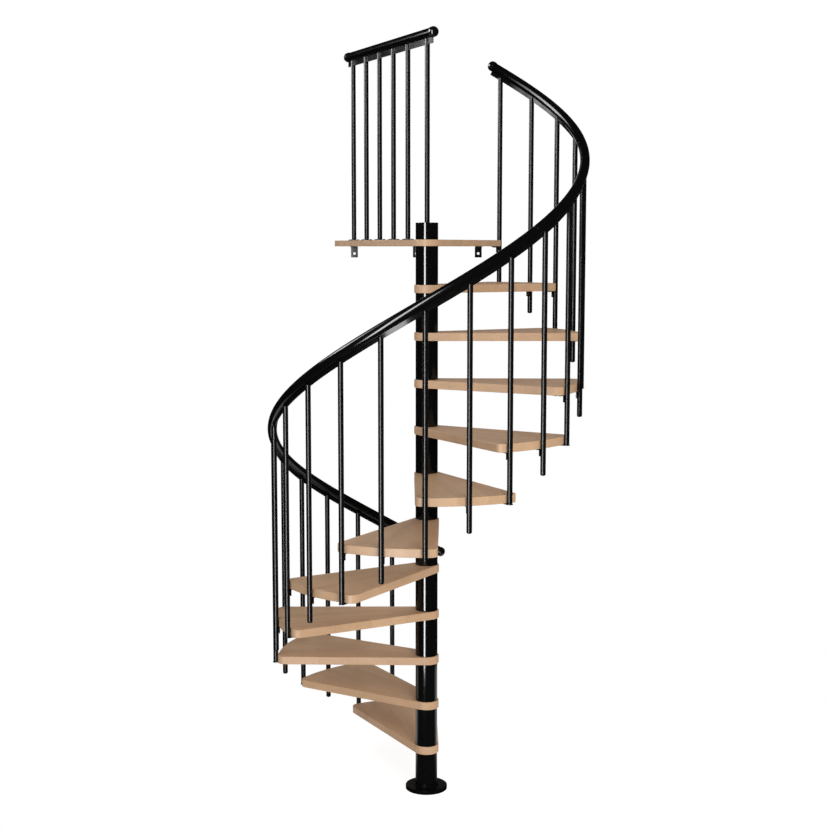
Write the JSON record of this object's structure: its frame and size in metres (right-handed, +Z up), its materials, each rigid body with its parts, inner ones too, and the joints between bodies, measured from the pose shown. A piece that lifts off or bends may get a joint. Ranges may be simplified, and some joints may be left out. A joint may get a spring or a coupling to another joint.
{
  "type": "spiral staircase",
  "caption": "Spiral staircase on a central column, with wedge-shaped wooden treads, black round balusters, a helical handrail and a guarded landing board.",
  "frame": {"origin": "on the column's axis, on the underside of the base flange, at floor level", "axes": "+Z up along the column; +Y towards the landing's back edge; +X to the right when facing the landing from the front; the stair climbs anticlockwise seen from above"},
  "size_m": [1.4188, 1.6427, 3.4355],
  "materials": {
    "flange": "gloss black",
    "column": "gloss black",
    "tread_wood": "clear satin lacquer on glued strip wood",
    "landing_wood": "clear satin lacquer on glued strip wood",
    "baluster": "gloss black",
    "guard_post": "gloss black",
    "handrail": "gloss black",
    "rail_cap": "gloss black",
    "rail_strip": "satin black",
    "bracket": "satin black"
  },
  "bodies": {
    "root": {"base_flange": "flange", "column_tubes": "column", "tread_01": "tread_wood", "tread_02": "tread_wood", "tread_03": "tread_wood", "tread_04": "tread_wood", "tread_05": "tread_wood", "tread_06": "tread_wood", "tread_07": "tread_wood", "tread_08": "tread_wood", "tread_09": "tread_wood", "tread_10": "tread_wood", "tread_11": "tread_wood", "landing_board": "landing_wood", "balusters_00": "baluster", "balusters_01": "baluster", "balusters_02": "baluster", "balusters_03": "baluster", "balusters_04": "baluster", "balusters_05": "baluster", "balusters_06": "baluster", "balusters_07": "baluster", "balusters_08": "baluster", "balusters_09": "baluster", "balusters_10": "baluster", "balusters_11": "baluster", "handrail_lower": "handrail", "handrail_middle": "handrail", "handrail_upper": "handrail", "rail_strip_lower": "rail_strip", "rail_strip_middle": "rail_strip", "rail_strip_upper": "rail_strip", "handrail_cap_lower": "rail_cap", "handrail_cap_upper": "rail_cap", "guard_rail": "handrail", "guard_cap_near": "rail_cap", "guard_cap_far": "rail_cap", "guard_strip": "rail_strip", "guard_posts": "guard_post", "landing_brackets": "bracket"}
  },
  "joints": []
}
